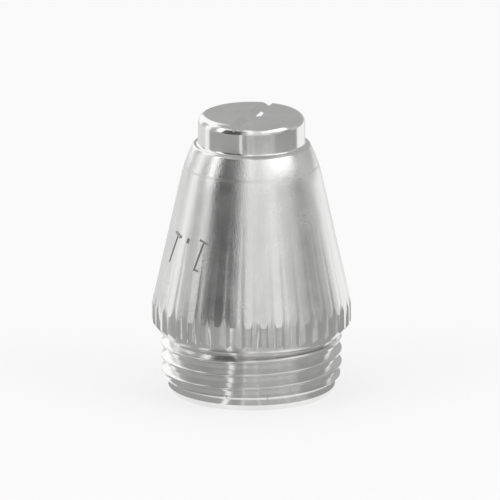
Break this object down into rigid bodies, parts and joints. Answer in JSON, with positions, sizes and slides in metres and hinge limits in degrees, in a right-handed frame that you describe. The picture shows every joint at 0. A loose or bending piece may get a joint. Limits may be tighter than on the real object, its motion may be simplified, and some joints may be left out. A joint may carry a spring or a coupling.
{
  "type": "plasma torch nozzle",
  "caption": "Conical nozzle of a hand plasma cutting torch, with a threaded foot, a knurled band for gripping, and crossed slots round the orifice in its end face.",
  "frame": {"origin": "centre of the seating face, at the threaded end", "axes": "+Z along the axis from the seating face to the cutting tip; the cross slots run along X and Y"},
  "size_m": [0.022, 0.022, 0.0316],
  "materials": {
    "silver_plate": "silver plate over copper, bead blasted on the cone and bright turned elsewhere"
  },
  "bodies": {
    "root": {"nozzle": "silver_plate"}
  },
  "joints": []
}
